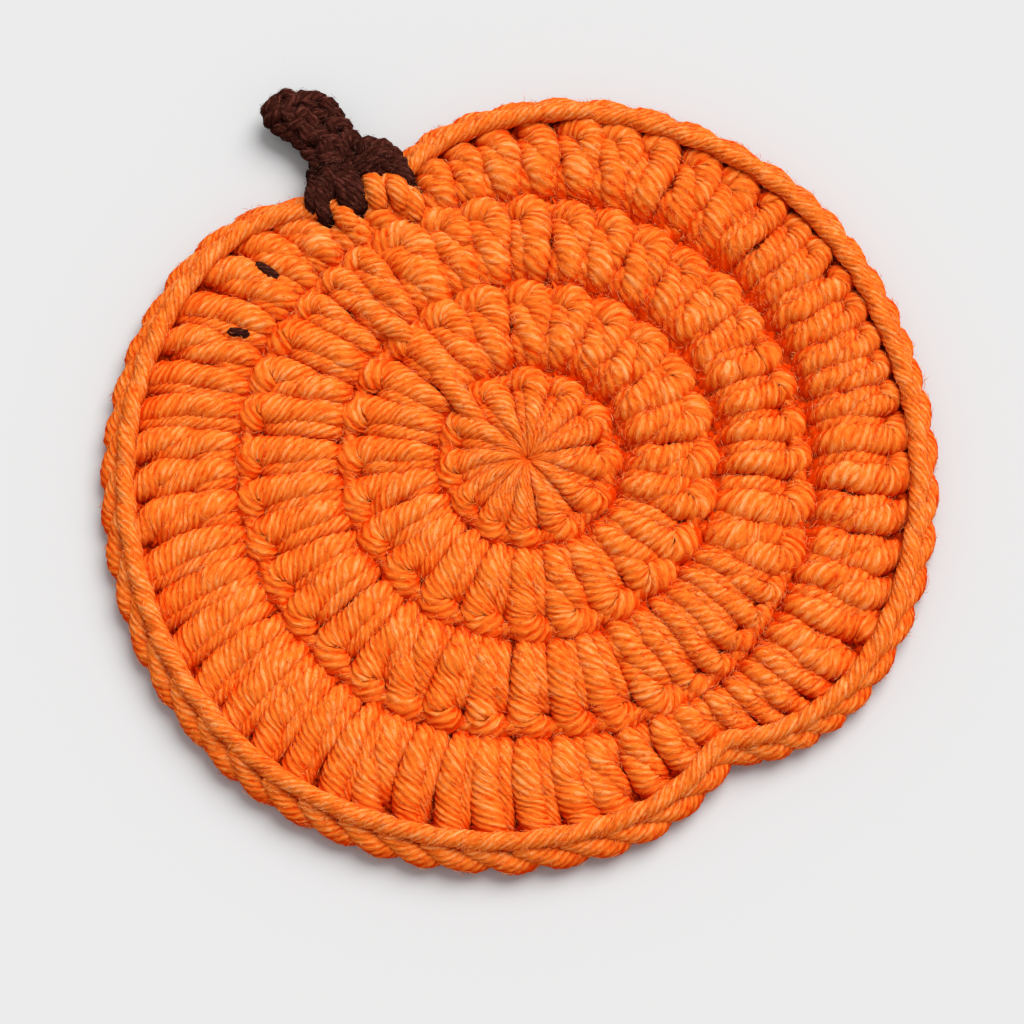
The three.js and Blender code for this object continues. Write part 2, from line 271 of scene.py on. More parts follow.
# How each round is worked: name, stitches, those of the round below, inner and outer edge,
# how far it stays inside the outer edge, and the least and greatest radius of its yarn
Round = namedtuple("Round", "name stitches below inner outer inset thinnest thickest")
ROUNDS = [
    Round("round_1", FIRST_STITCHES, None, CENTRE, FIRST_ROUND, 0.35, 0.33, 2.2),
    Round("round_2", SECOND_STITCHES, FIRST_STITCHES, FIRST_ROUND, SECOND_ROUND, 0.35, 1.1, 2.6),
    Round("round_3", THIRD_STITCHES, SECOND_STITCHES, SECOND_ROUND, THIRD_ROUND, 0.35, 1.1, 2.5),
    Round("round_4", OUTER_STITCHES, THIRD_STITCHES, THIRD_ROUND, OUTLINE, 5.0, 0.8, 2.5),
]
# Between these turns the outer round has heads like those of the other rounds
HEADS_SPAN = (38, 132)
HEADED_INSET = 4.3

# Where the rounds are joined, three lengths of yarn lie slanting over their edges, with these
# sizes at these shares of the way along
JOIN_PLACES = [0, 0.3, 0.7, 1]
JOIN_SIZES = [0.7, 0.95, 0.95, 0.7]
JOINS = [
    [(-4.3, 18.6, 3.0), (-3.7, 16.7, 4.2), (-3.4, 13.8, 4.5), (-3.1, 10.3, 4.4), (-2.5, 6.4, 3.0)],
    [(-4.8, 21.6, 3.0), (-3.8, 19.6, 4.1), (-2.5, 16.9, 4.4), (-1.6, 13.6, 3.3)],
    [(-7.3, 29.4, 3.0), (-6.3, 27.9, 4.1), (-5.0, 25.6, 4.3), (-4.2, 23.0, 3.1)],
]

# Lobes of yarn at the outer edge of a round, one to a stitch. For each bend: the share of the
# stitch, clockwise, how far out it lies from the middle of the lobes, the height of its top, and
# its share of the yarn's radius. The middle lies inside the edge by a ring's radius.
Lobe = namedtuple("Lobe", "bends middle lead plies")
# The bar across the heads of the inner rounds' stitches, which lies a little below them
BAR = Lobe(
    bends=[
        (-0.16, 0.0, 2.8, 0.60), (0.02, 0.0, 3.8, 0.70), (0.28, 0.0, 4.1, 0.74),
        (0.50, 0.0, 4.15, 0.75), (0.72, 0.0, 4.1, 0.74), (0.98, 0.0, 3.8, 0.70),
        (1.16, 0.0, 2.8, 0.60),
    ],
    middle=[
        Ring(0, 1.5), Ring(40, 1.9), Ring(60, 2.25), Ring(120, 2.25), Ring(145, 1.85),
        Ring(190, 1.5), Ring(340, 1.4),
    ],
    lead=1.25,
    plies=5,
)
# The rope at the front of the rim
ROPE = Lobe(
    bends=[
        (-0.45, -0.45, 4.3, 0.52), (-0.22, -0.32, 5.2, 0.66), (0.06, -0.15, 5.65, 0.74),
        (0.40, 0.02, 5.75, 0.77), (0.75, 0.15, 5.5, 0.74), (1.02, 0.28, 4.9, 0.66),
        (1.25, 0.40, 4.0, 0.53),
    ],
    middle=[
        Ring(0, 3.5), Ring(45, 3.2), Ring(90, 3.05), Ring(150, 3.2), Ring(205, 3.9), Ring(260, 4.1),
        Ring(300, 3.75), Ring(330, 3.55),
    ],
    lead=1.15,
    plies=8,
)
# The chain behind and below the rope
CHAIN = Lobe(
    bends=[
        (0.90, -1.5, 4.5, 0.60), (0.62, -1.0, 4.5, 0.78), (0.27, -0.35, 4.15, 0.94),
        (-0.08, 0.12, 3.75, 1.00), (-0.38, 0.10, 3.4, 0.93), (-0.62, -0.5, 3.0, 0.76),
        (-0.80, -1.2, 2.7, 0.60),
    ],
    middle=[Ring(0, 1.75)],
    lead=1.15,
    plies=8,
)

# The thin web of cloth between the yarns: how far inside the outline it ends, the heights of its
# top and bottom, and its steps round and rows
WEB_INSET = 3.6
WEB_TOP = 2.3
WEB_BOTTOM = 1.4
WEB_STEPS = 180
WEB_ROWS = 22

# The stem: its yarn, and its rows across the column, from the body to the tip. Each is a loop of
# yarn round the column, by these angles, whose ends pass each other below.
BROWN_RADIUS = 1.1
BROWN_LEAD = 1.08
StemRow = namedtuple("StemRow", "x y width turn")
STEM_MIDDLE = 2.6
STEM_CLEARANCE = 0.05
ROW_ANGLES = range(-110, 281, 15)
ROW_INSET = 1.5
STEM_ROWS = [
    StemRow(-0.9, 48.8, 5.2, 6), StemRow(0.6, 50.6, 6.4, 6), StemRow(1.7, 52.8, 7.2, 10),
    StemRow(2.2, 55.0, 7.9, 8), StemRow(2.2, 57.3, 8.1, -4), StemRow(2.1, 59.5, 8.8, -20),
    StemRow(1.5, 61.6, 8.9, -36), StemRow(0.0, 63.2, 7.6, -54), StemRow(-1.8, 63.9, 5.4, -68),
]
# Small loops of stem yarn: how far each point lies from the loop's spot along two directions and
# over it, and its share of the yarn's radius
LoopBend = namedtuple("LoopBend", "first second over size")
# A slanting stitch on the stem's front: up the column, and the share of the stitch's lean
STEM_STITCH = [
    LoopBend(-1.5, -1.0, 0.3, 0.7), LoopBend(-0.6, -0.6, 1.55, 0.92),
    LoopBend(0.6, 0.6, 1.75, 0.92), LoopBend(1.5, 1.0, 0.5, 0.7),
]
STEM_LEAN = (0.5, 0.9)
STEM_ASIDE_SPREAD = 0.15
STEM_UP_SPREAD = 0.2
# Where such stitches stand across a row, by its half width, and which lean the other way there
STITCH_PLACES = [-0.75, -0.2, 0.35, 0.85]
STITCHES_TURNED = [False, False, True, False]

# A loop that stands out at the stem's edge: outward, and ahead along the edge
EDGE_LOOP = [
    LoopBend(-1.9, -0.9, 0.2, 0.8), LoopBend(-0.3, -0.55, 0.75, 1.0),
    LoopBend(0.05, 0.45, 0.35, 1.0), LoopBend(-1.1, 1.2, -0.5, 0.8),
]
EDGE_SPREAD = 0.08
# The middles of these loops, round from the stem's lower left
STEM_EDGE = [
    (-2.0, 51.6), (-1.4, 53.8), (-1.2, 56.0), (-1.5, 58.2), (-2.0, 60.2), (-2.8, 61.8),
    (-3.1, 63.9), (-1.3, 65.0), (0.8, 65.2), (2.8, 64.1), (4.5, 62.7), (5.4, 61.0), (5.5, 59.1),
    (5.4, 57.0), (5.5, 54.9), (5.6, 52.9),
]
# The middles of the loops along the lobe at the right of the stem's base, and their height
LOBE_MIDDLE = 4.4
LOBE_EDGE = [(6.6, 51.9), (8.0, 50.5), (8.7, 48.6), (8.7, 46.7), (8.4, 45.0)]
# Strands from the column over the body's rim: the points that each follows
STEM_STRANDS = [
    [(-0.3, 52.6, 3.6), (-1.0, 51.0, 5.2), (-1.9, 49.3, 5.7), (-2.6, 47.9, 5.0), (-2.9, 46.9, 3.6)],
    [(-2.4, 53.0, 3.2), (-3.4, 51.0, 4.6), (-4.8, 49.2, 5.7), (-5.4, 47.9, 5.3), (-5.6, 46.8, 3.6)],
    [(-1.4, 52.6, 3.4), (-2.4, 50.4, 5.0), (-4.0, 48.0, 6.0), (-4.7, 46.0, 5.3), (-4.9, 44.6, 3.6)],
    [(-0.8, 52.6, 3.6), (-1.5, 50.6, 5.1), (-2.8, 48.8, 5.7), (-3.8, 47.2, 5.1), (-4.3, 45.6, 3.6)],
    [(0.4, 51.8, 3.8), (-0.1, 49.6, 5.3), (-0.8, 47.4, 5.9), (-1.3, 45.6, 5.2), (-1.5, 44.2, 3.6)],
    [(1.4, 51.6, 3.8), (0.9, 49.4, 5.4), (0.3, 47.0, 6.0), (-0.3, 45.0, 5.3), (-0.6, 43.5, 3.6)],
    [(2.2, 51.4, 3.6), (1.8, 49.2, 5.0), (1.3, 47.1, 5.6), (0.7, 45.2, 5.1), (0.4, 43.8, 3.6)],
    [
        (3.6, 51.8, 3.6), (5.6, 50.9, 4.9), (7.2, 49.4, 5.5), (8.0, 47.2, 5.7), (8.2, 45.0, 5.2),
        (8.2, 43.5, 3.6),
    ],
    [
        (2.6, 51.2, 3.6), (4.4, 50.2, 4.8), (5.8, 48.9, 5.2), (6.9, 47.3, 5.3), (7.6, 45.4, 4.9),
        (7.9, 43.9, 3.6),
    ],
    [(1.8, 50.4, 3.4), (3.0, 49.6, 4.5), (4.4, 48.7, 4.9), (5.8, 47.3, 4.8), (6.7, 45.9, 3.8)],
]
# Orange loops of the rim that stand between the stem's strands, and their sizes at each point
RIM_BUMP_SIZES = [0.7, 0.93, 0.95, 0.8]
RIM_BUMPS = [
    [(3.8, 48.2, 3.2), (3.7, 46.5, 4.9), (3.3, 44.8, 5.2), (2.6, 42.8, 4.2)],
    [(6.6, 46.3, 3.2), (6.4, 44.7, 4.9), (6.0, 43.0, 5.2), (5.2, 41.0, 4.0)],
    [(7.6, 43.0, 3.0), (7.3, 41.6, 4.4), (6.8, 40.2, 4.4), (6.2, 38.8, 3.6)],
    [(-2.6, 46.4, 3.4), (-2.5, 44.8, 4.7), (-2.3, 43.3, 4.9), (-1.9, 42.0, 3.9)],
]
# The stem's tail, woven in behind the outer round, shows in the grooves at two of its stitches
TAIL_SIZE = 0.72
TAIL = [
    (-5.0, 47.6, 2.2), (-11.0, 46.4, 2.0), (-16.6, 45.6, 2.6), (-16.4, 44.3, 4.3),
    (-15.5, 42.3, 4.35), (-15.2, 41.0, 2.6), (-19.4, 40.6, 2.0), (-25.2, 39.2, 2.6),
    (-24.8, 38.0, 4.3), (-23.4, 36.5, 4.35), (-22.8, 35.4, 2.6), (-25.5, 33.6, 2.0),
]

# Fibres: how many, how long and how thick
Fuzz = namedtuple("Fuzz", "name count shortest longest radius")
BODY_FUZZ = Fuzz("body_fuzz", 33000, 0.5, 2.0, 0.036)
BODY_HAIRS = Fuzz("body_hairs", 4000, 1.4, 3.0, 0.036)
STEM_FUZZ = Fuzz("stem_fuzz", 4000, 0.4, 1.5, 0.03)
# How a fibre lies: its slant and curl in radians, the share of an arch that it makes, how high
# the arch stands, and how deep it is rooted
SLANT_SPREAD = 0.7
CURL_SPREAD = 1.0
ARCH_SHARE = (0.45, 1.0)
ARCH_HEIGHT = (0.08, 0.45)
ROOT_DEPTH = 0.02
# A fibre is two points with a triangle between them
FIBRE_SIDES = (90, 210, 330)
FIBRE_FACES = [[0, 2, 1], [0, 3, 2], [0, 1, 3], [4, 1, 2], [4, 2, 3], [4, 3, 1]]
FIBRE_POINTS = 5
# Fibres are rooted where the yarn faces up, at most a cover's depth under the highest yarn of
# its grid cell and not in the bare centre, and where it faces out near the outline
ROOTS_TO_A_RING = 8
BODY_COVER = 0.8
STEM_COVER = 1.0
CELL = 0.6
CELLS = 400
FACING_UP = 0.15
FACING_OUT = 0.5
BARE_CENTRE = 3.5
OUTER_BAND = 1.0

# The wool's surface
ROUGHNESS = 0.9
WOOL_GLOSS = 0.02
SHEEN_WEIGHT = 0.04
SHEEN_ROUGHNESS = 0.5
BUMP_STRENGTH = 0.8
# Tufts: how unevenly they are spread, how light the painted highlight in their middle is, and how
# fast it falls off to painted shade between them
LEAF_DISORDER = 0.85
TUFT_HIGHLIGHT = 1.1
LEAF_FALL = 1.3
# Grains of felt to a metre, and how far the fibres differ in tone
FELT_SCALE = 2500
PALER_SPREAD = 0.3


def ring_radius(ring, turn):
    """Radius of a ring at any turn, on a smooth closed curve through its rows."""
    if len(ring) == 1:
        return np.full_like(np.asarray(turn, float), ring[0].radius)
    turns, radii = np.array(ring, float).T
    turns = np.concatenate([turns[-2:] - FULL_TURN, turns, turns[:2] + FULL_TURN])
    radii = np.concatenate([radii[-2:], radii, radii[:2]])
    slopes = (radii[2:] - radii[:-2]) / (turns[2:] - turns[:-2])
    turns, radii = turns[1:-1], radii[1:-1]
    here = (np.asarray(turn, float) - turns[0]) % FULL_TURN + turns[0]
    row = np.clip(np.searchsorted(turns, here, side="right") - 1, 0, len(turns) - 2)
    span = turns[row + 1] - turns[row]
    share = (here - turns[row]) / span
    rise = share * share * (3 - 2 * share)
    bow = share * (1 - share) * span * (slopes[row] * (1 - share) - slopes[row + 1] * share)
    return radii[row] + (radii[row + 1] - radii[row]) * rise + bow


def stitch_total(sections):
    """How many stitches a round has."""
    return sum(section.stitches for section in sections)


def turn_of_stitch(sections, stitch):
    """Turn at which a stitch of a round begins, counted from its first section."""
    counts = np.cumsum([0] + [section.stitches for section in sections])
    first = sections[0].start
    turns = [section.start + FULL_TURN * (section.start < first) for section in sections]
    turns.append(first + FULL_TURN)
    laps = np.floor(np.asarray(stitch, float) / counts[-1])
    return np.interp(stitch - laps * counts[-1], counts, turns) + laps * FULL_TURN


def place(turn, radius, height):
    """Points at these turns, radii and heights."""
    angle = np.radians(turn)
    return np.stack([radius * np.sin(angle), radius * np.cos(angle), height], axis=-1)


# Yarn as a mesh


def unit(rows):
    """Each row at a length of one."""
    return rows / np.linalg.norm(rows, axis=-1, keepdims=True)


class Yarn:
    """Collects lengths of plied yarn, and makes one mesh of them.

    A length has a ridge for each ply. The columns of its mesh follow the plies round, so the
    ridges stay sharp however the yarn bends.
    """

    def __init__(self, make):
        self.make = make
        self.lengths = []
        self.roots = []
        self.count = 0

    def add(self, path, radii, leads, plies=None):
        """One length of yarn with these points as its middle."""
        plies = plies or self.make.plies
        spread = np.ones(len(path))
        rows = np.column_stack([np.asarray(path, float), radii * spread, plies * leads * spread])
        rows = smooth_rows(rows, self.make.step * plies)
        line, radius, lead = rows[:, :3], rows[:, 3:4], rows[:, 4]
        gaps = np.linalg.norm(np.diff(line, axis=0), axis=1)
        along = np.concatenate([[0], np.cumsum(gaps)])
        twist = 2 * np.pi * np.concatenate([[0], np.cumsum(gaps / lead[1:])])
        side, rise = line_frames(line)
        reach, slip, painted_ply_shade, shade = self.ply_surface(along, plies)
        start = rng.uniform(0, 2 * np.pi)
        sides = plies * self.make.columns
        angle = start + 2 * np.pi * np.arange(sides) / sides - twist[:, None] + slip
        reach = reach * radius
        points = (
            line[:, None, :]
            + (reach * np.cos(angle))[..., None] * side[:, None, :]
            + (reach * np.sin(angle))[..., None] * rise[:, None, :]
        )
        points[..., 2] = line[:, None, 2] + (points[..., 2] - line[:, None, 2]) * squash_of(radius)
        stretch = np.hypot(1, GIRTH / lead[1:])
        ply_run = np.concatenate([[0], np.cumsum(gaps * stretch)]) + rng.uniform(0, PATTERN_LENGTH)
        self.note_roots(points, line)
        # Painted shade: the deeper a point lies in the cloth, the darker and redder it is painted
        depth_shade = np.clip(self.depth_of(points[..., 2]) / PAINTED_SHADE_DEPTH, 0, 1)
        self.keep(points, line, ply_run, painted_ply_shade - PAINTED_SHADE_STRENGTH * depth_shade**2, shade)

    def depth_of(self, height):
        """How far in from the top of the cloth, or from the underside, a point lies, for its
        painted shade.
        """
        if self.make.crown is None:
            return height
        return max(self.make.crown, height.max()) - height

    def ply_surface(self, along, plies):
        """Reach and slip round the section, the painted highlight and shade of each point of a ply,
        and its random tone.
        """
        columns = self.make.columns
        ply = (np.arange(plies * columns) - columns / 2) / columns
        from_crest = (np.abs(ply - np.round(ply)) * 2) ** PLY_ROUNDNESS
        low = np.floor(ply).astype(int)
        share = ply - low

        def waves(wave):
            """A wave along each ply, which passes over into those beside it."""
            length = rng.uniform(wave.shortest, wave.longest, plies)
            phase = rng.uniform(0, 2 * np.pi, plies)
            each = wave.height * np.sin(2 * np.pi * along[:, None] / length + phase)
            return each[:, low % plies] * (1 - share) + each[:, (low + 1) % plies] * share

        swell = waves(SWELL)
        slip = waves(SLIP)
        shade = waves(SHADE)
        depth = PLY_DEPTH * (1 + waves(GROOVE_DEPTH))
        reach = (1 + swell) * (1 - depth * from_crest)
        # Painted light and shade: light on each ply's crest and where it swells, dark in the
        # grooves between plies
        painted_ply_shade = 1 - from_crest + SWELL_HIGHLIGHT * swell
        return reach, slip, painted_ply_shade, shade

    def note_roots(self, points, line):
        """Remembers some places on the surface, where fibres can stand out."""
        rings, sides = points.shape[:2]
        count = ROOTS_TO_A_RING * rings
        ring = fuzz_rng.integers(0, rings - 1, count)
        column = fuzz_rng.integers(0, sides, count)
        root = points[ring, column]
        out = unit(root - line[ring])
        run = unit(points[ring + 1, column] - root)
        self.roots.append(np.concatenate([root, out, run], axis=1))

    def keep(self, points, line, ply_run, painted_ply_shade, shade):
        """Adds one length's surface, with its ends closed."""
        rings, sides = points.shape[:2]
        ring, column = np.meshgrid(np.arange(rings - 1), np.arange(sides), indexing="ij")
        corners = [(0, 0), (0, 1), (1, 1), (1, 0)]
        quads = [(ring + up) * sides + (column + over) % sides for up, over in corners]
        quads = np.stack(quads, -1).reshape(-1, 4)
        round_run = np.arange(sides + 1) / self.make.columns * PLY_WIDTH
        runs = [(ply_run[ring + up], round_run[column + over]) for up, over in corners]
        quad_map = np.stack([np.stack(run, -1) for run in runs], -2).reshape(-1, 2)
        first, last = rings * sides, rings * sides + 1
        edge = np.arange(sides)
        next_edge = (edge + 1) % sides
        top = (rings - 1) * sides
        first_cap = np.stack([np.full(sides, first), next_edge, edge], -1)
        last_cap = np.stack([np.full(sides, last), top + edge, top + next_edge], -1)
        cap_map = np.repeat(np.stack([np.full(sides, ply_run[0]), round_run[:-1]], -1), 3, axis=0)
        points = np.concatenate([points.reshape(-1, 3), line[:1], line[-1:]])
        caps = np.concatenate([first_cap, last_cap])
        cap_map = np.concatenate([cap_map, cap_map])
        values = [np.concatenate([given.ravel(), [0, 0]]) for given in (shade, painted_ply_shade)]
        faces = (quads + self.count, caps + self.count)
        self.lengths.append((points, *faces, quad_map, cap_map, *values))
        self.count += len(points)

    def mesh(self, name, material):
        """The collected yarn as one object."""
        joined = [np.concatenate(part) for part in zip(*self.lengths)]
        points, quads, caps, quad_map, cap_map, shade, painted_ply_shade = joined
        piece = new_piece(name, points, quads, caps, material)
        layer = piece.data.uv_layers.new(name="yarn")
        uv = np.concatenate([quad_map, cap_map])
        layer.data.foreach_set("uv", uv.astype(np.float32).ravel())
        add_values(piece, "shade", shade)
        add_values(piece, "painted_ply_shade", painted_ply_shade)
        return piece


def squash_of(radius):
    """How flat the yarn is pressed: the more, the wider it is."""
    return np.minimum(SQUASH, HALF_THICKEST / radius)


def new_piece(name, points, quads, triangles, material):
    """An object from points in millimetres, and faces of four and of three corners."""
    mesh = bpy.data.meshes.new(name)
    mesh.vertices.add(len(points))
    mesh.vertices.foreach_set("co", (points * MM).astype(np.float32).ravel())
    loops = np.concatenate([quads.ravel(), triangles.ravel()])
    mesh.loops.add(len(loops))
    mesh.loops.foreach_set("vertex_index", loops.astype(np.int32))
    starts = np.concatenate(
        [np.arange(len(quads)) * 4, quads.size + np.arange(len(triangles)) * 3]
    )
    mesh.polygons.add(len(starts))
    mesh.polygons.foreach_set("loop_start", starts.astype(np.int32))
    mesh.update(calc_edges=True)
    mesh.shade_smooth()
    mesh.materials.append(material)
    piece = bpy.data.objects.new(name, mesh)
    bpy.context.scene.collection.objects.link(piece)
    return piece


def add_values(piece, name, values):
    """A number at each point, for the material to read."""
    attribute = piece.data.attributes.new(name, "FLOAT", "POINT")
    attribute.data.foreach_set("value", values.astype(np.float32))


def smooth_rows(rows, step):
    """Rows in even steps of length on a smooth curve through the given ones, x, y and z first."""
    rows = np.vstack([2 * rows[0] - rows[1], rows, 2 * rows[-1] - rows[-2]])
    rows[[0, -1], 3:] = rows[[1, -2], 3:]
    share = np.linspace(0, 1, CURVE_STEPS, endpoint=False)[:, None]
    parts = []
    for before, start, end, beyond in zip(rows, rows[1:], rows[2:], rows[3:]):
        line = 2 * start + (end - before) * share
        square = 2 * before - 5 * start + 4 * end - beyond
        cube = 3 * start - before - 3 * end + beyond
        parts.append((line + (square * share**2 + cube * share**3)) / 2)
    dense = np.vstack(parts + [rows[-2:-1]])
    gaps = np.linalg.norm(np.diff(dense[:, :3], axis=0), axis=1)
    length = np.concatenate([[0], np.cumsum(gaps)])
    count = max(FEWEST_ROWS, int(round(length[-1] / step)) + 1)
    even = np.linspace(0, length[-1], count)
    return np.stack([np.interp(even, length, column) for column in dense.T], axis=-1)


def line_frames(line):
    """Two directions across the line at each point, turned as little as the line allows."""
    tangent = unit(np.gradient(line, axis=0))
    rise = np.array([0.0, 0.0, 1.0]) - tangent * tangent[:, 2:3]
    rise[0] /= np.linalg.norm(rise[0])
    for point in range(1, len(line)):
        kept = rise[point - 1] - tangent[point] * (rise[point - 1] @ tangent[point])
        rise[point] = kept / np.linalg.norm(kept)
    return np.cross(rise, tangent), rise


# Rounds of stitches


def crossed_share(turn):
    """How many of the stitches at this turn are crossed: most of them on one side."""
    nearness = 0.5 + 0.5 * math.cos(math.radians(turn - MOST_CROSSED_TURN))
    return LEAST_CROSSED + CROSSED_RANGE * nearness**CROSSED_SHARPNESS


def leads_of(out):
    """How far along the yarn one ply takes the place of the next, so far out in a stitch."""
    return np.interp(out, LEAD_PLACES, LEADS)


def plies_at(turn):
    """How many plies show to a turn of the yarn's twist."""
    return int(round(np.interp(turn % FULL_TURN, PLY_TURNS, PLY_COUNTS)))


def stitch_yarns(yarn, lengths, heads, feet, work, upwards=True):
    """Adds the lengths of yarn of one stitch, whose head and foot start and end at these turns."""
    tilt = rng.normal(0, TILT_SPREAD)
    raised = rng.normal(0, HEIGHT_SPREAD)
    for bends in lengths:
        aside, out, under, sizes = np.array(bends).T
        count = len(bends)
        aside = aside + rng.normal(0, ASIDE_SPREAD, count) + tilt
        under = under + rng.normal(0, HEIGHT_SPREAD, count) + raised
        head = heads[0] + (heads[1] - heads[0]) * (0.5 + aside)
        foot = feet[0] + (feet[1] - feet[0]) * (0.5 + aside)
        turn = foot + (head - foot) * np.clip(out, 0, 1)
        groove = np.interp(turn % FULL_TURN, GROOVE_TURNS, GROOVE_SHARES)
        near = ring_radius(work.inner, turn)
        far = ring_radius(work.outer, turn) - work.inset
        if work.outer is not OUTLINE:
            far = far - GROOVE_INSET * groove
        radius = near + (far - near) * out
        width = np.radians(heads[1] - heads[0]) * radius
        radii = sizes * width * (1 + rng.normal(0, SIZE_SPREAD, count))
        radii = np.clip(radii, work.thinnest, work.thickest)
        if upwards:
            if work.below:
                under = under + groove * np.interp(out, FOOT_PLACES, FOOT_DROPS)
            half = radii * squash_of(radii)
            height = np.maximum(RIB_TOP - under - half, half * FRONT_CLEARANCE)
        else:
            radii = np.minimum(radii, BACK_THICKEST)
            height = UNDERSIDE + np.maximum(under, 0) + radii * SQUASH * BACK_CLEARANCE
        yarn.add(place(turn, radius, height), radii, leads_of(out), plies_at(turn[0]))


def turns_of_stitches(work):
    """For each stitch of a round the turns of its head, and of its foot on the round below."""
    for stitch in range(stitch_total(work.stitches)):
        heads = turn_of_stitch(work.stitches, [stitch, stitch + 1])
        feet = heads
        if work.below:
            first = turn_of_stitch(work.below, 0)
            edges = turn_of_stitch(work.below, np.arange(stitch_total(work.below) + 1)) - first
            here = (heads.mean() - first) % FULL_TURN
            under = np.clip(np.searchsorted(edges, here, side="right") - 1, 0, len(edges) - 2)
            middle = (edges[under] + edges[under + 1]) / 2 + first
            away = (middle - heads.mean() + FULL_TURN / 2) % FULL_TURN - FULL_TURN / 2
            feet = heads + FOOT_PULL * away
        yield heads, feet


def lengths_of_stitch(work, crossed, headed):
    """The lengths of yarn that a stitch has, by its round and by the heads that show there."""
    if work.below is None:
        return CENTRE_STITCH
    if work.outer is OUTLINE and not headed:
        return OUTER_CROSSED_STITCH if crossed else OUTER_STITCH
    return CROSSED_STITCH if crossed else STRAIGHT_STITCH


def round_of_stitches(work, material):
    """One round of stitches, with a bar across their heads if another round is worked on it."""
    yarn = Yarn(STITCH_MAKE)
    outermost = work.outer is OUTLINE
    for heads, feet in turns_of_stitches(work):
        crossed = rng.random() < crossed_share(heads.mean())
        headed = HEADS_SPAN[0] < heads.mean() % FULL_TURN < HEADS_SPAN[1]
        inset = HEADED_INSET if outermost and headed else work.inset
        lengths = lengths_of_stitch(work, crossed, headed)
        stitch_yarns(yarn, lengths, heads, feet, work._replace(inset=inset))
    if not outermost:
        add_lobes(yarn, BAR, work)
    return yarn.mesh(work.name, material), yarn


def back_of_rounds(material):
    """The underside of all the rounds."""
    yarn = Yarn(BACK_MAKE)
    for work in ROUNDS:
        for heads, feet in turns_of_stitches(work):
            stitch_yarns(yarn, BACK_STITCH, heads, feet, work, upwards=False)
    return yarn.mesh("underside", material), yarn


def add_lobes(yarn, lobe, work):
    """Lobes of yarn along the outer edge of a round, one to each stitch."""
    count = len(lobe.bends)
    along, across, top, sizes = np.array(lobe.bends).T
    for stitch in range(stitch_total(work.stitches)):
        aside = across + rng.normal(0, LOBE_SPREAD, count)
        radii = YARN_RADIUS * sizes * (1 + rng.normal(0, LOBE_SIZE_SPREAD, count))
        height = top + rng.normal(0, LOBE_SPREAD, count) - radii * SQUASH
        height = np.maximum(height, radii * SQUASH * BACK_CLEARANCE)
        turn = turn_of_stitch(work.stitches, stitch + along)
        radius = ring_radius(work.outer, turn) - ring_radius(lobe.middle, turn) + aside
        yarn.add(place(turn, radius, height), radii, lobe.lead, lobe.plies)


def rim_lobes(name, lobe, material):
    """The rope or the chain of the rim."""
    yarn = Yarn(RIM_MAKE)
    add_lobes(yarn, lobe, ROUNDS[-1])
    return yarn.mesh(name, material), yarn


def joins(material):
    """The slanting lengths between the rounds, and the orange loops between the stem's strands."""
    yarn = Yarn(RIM_MAKE)
    at_edge, at_head = LEADS[1:]
    for path in JOINS:
        sizes = np.interp(np.linspace(0, 1, len(path)), JOIN_PLACES, JOIN_SIZES)
        yarn.add(path, YARN_RADIUS * sizes, at_edge)
    for path in RIM_BUMPS:
        yarn.add(path, YARN_RADIUS * np.array(RIM_BUMP_SIZES), at_head)
    return yarn.mesh("joins", material), yarn


def web_sheet(material):
    """The cloth between the yarns: a thin closed web, which the stitches hide, in the painted shade
    of the gaps.
    """
    step = np.arange(WEB_STEPS)
    after = (step + 1) % WEB_STEPS
    turn = step * FULL_TURN / WEB_STEPS
    edge = ring_radius(OUTLINE, turn) - WEB_INSET
    inward = [(row, WEB_TOP) for row in range(WEB_ROWS, 0, -1)]
    outward = [(row, WEB_BOTTOM) for row in range(1, WEB_ROWS + 1)]
    rings = [
        place(turn, edge * row / WEB_ROWS, np.full(WEB_STEPS, height))
        for row, height in inward + outward
    ]
    count = len(rings)
    quads = []
    for ring in range(count):
        if ring == WEB_ROWS - 1:
            continue
        low, high = ring * WEB_STEPS, (ring + 1) % count * WEB_STEPS
        quads.append(np.stack([low + step, low + after, high + after, high + step], -1))
    middle = np.full(WEB_STEPS, count * WEB_STEPS)
    top, low = (WEB_ROWS - 1) * WEB_STEPS, WEB_ROWS * WEB_STEPS
    triangles = [
        np.stack([top + step, top + after, middle], -1),
        np.stack([low + after, low + step, middle + 1], -1),
    ]
    points = np.concatenate([*rings, [[0, 0, WEB_TOP], [0, 0, WEB_BOTTOM]]])
    return new_piece("web", points, np.concatenate(quads), np.concatenate(triangles), material)


# Stem


def small_loop(yarn, bends, spot, first, second, height):
    """A small loop of stem yarn at this spot, bent along two directions."""
    path = [
        (*(spot + first * bend.first + second * bend.second), height + bend.over)
        for bend in bends
    ]
    yarn.add(path, BROWN_RADIUS * np.array([bend.size for bend in bends]), BROWN_LEAD)


def stem_rows(yarn):
    """Rows of yarn round the stem's column, with slanting stitches over its front."""
    angle = np.radians(ROW_ANGLES)
    thick = STEM_MIDDLE - BROWN_RADIUS - STEM_CLEARANCE
    for number, row in enumerate(STEM_ROWS):
        turn = math.radians(row.turn)
        across = np.array([math.cos(turn), -math.sin(turn)])
        upward = np.array([math.sin(turn), math.cos(turn)])
        middle = np.array([row.x, row.y])
        half = row.width / 2 - BROWN_RADIUS * ROW_INSET
        level = middle + np.outer(half * np.cos(angle), across)
        height = STEM_MIDDLE + thick * np.sin(angle)
        yarn.add(np.column_stack([level, height]), BROWN_RADIUS, BROWN_LEAD)
        for share, turned in zip(STITCH_PLACES, STITCHES_TURNED):
            side = 1 if (number + turned) % 2 else -1
            spot = middle + across * (share * half + rng.normal(0, STEM_ASIDE_SPREAD))
            spot = spot + upward * rng.normal(0, STEM_UP_SPREAD)
            lean = across * side * rng.uniform(*STEM_LEAN)
            small_loop(yarn, STEM_STITCH, spot, upward, lean, STEM_MIDDLE)


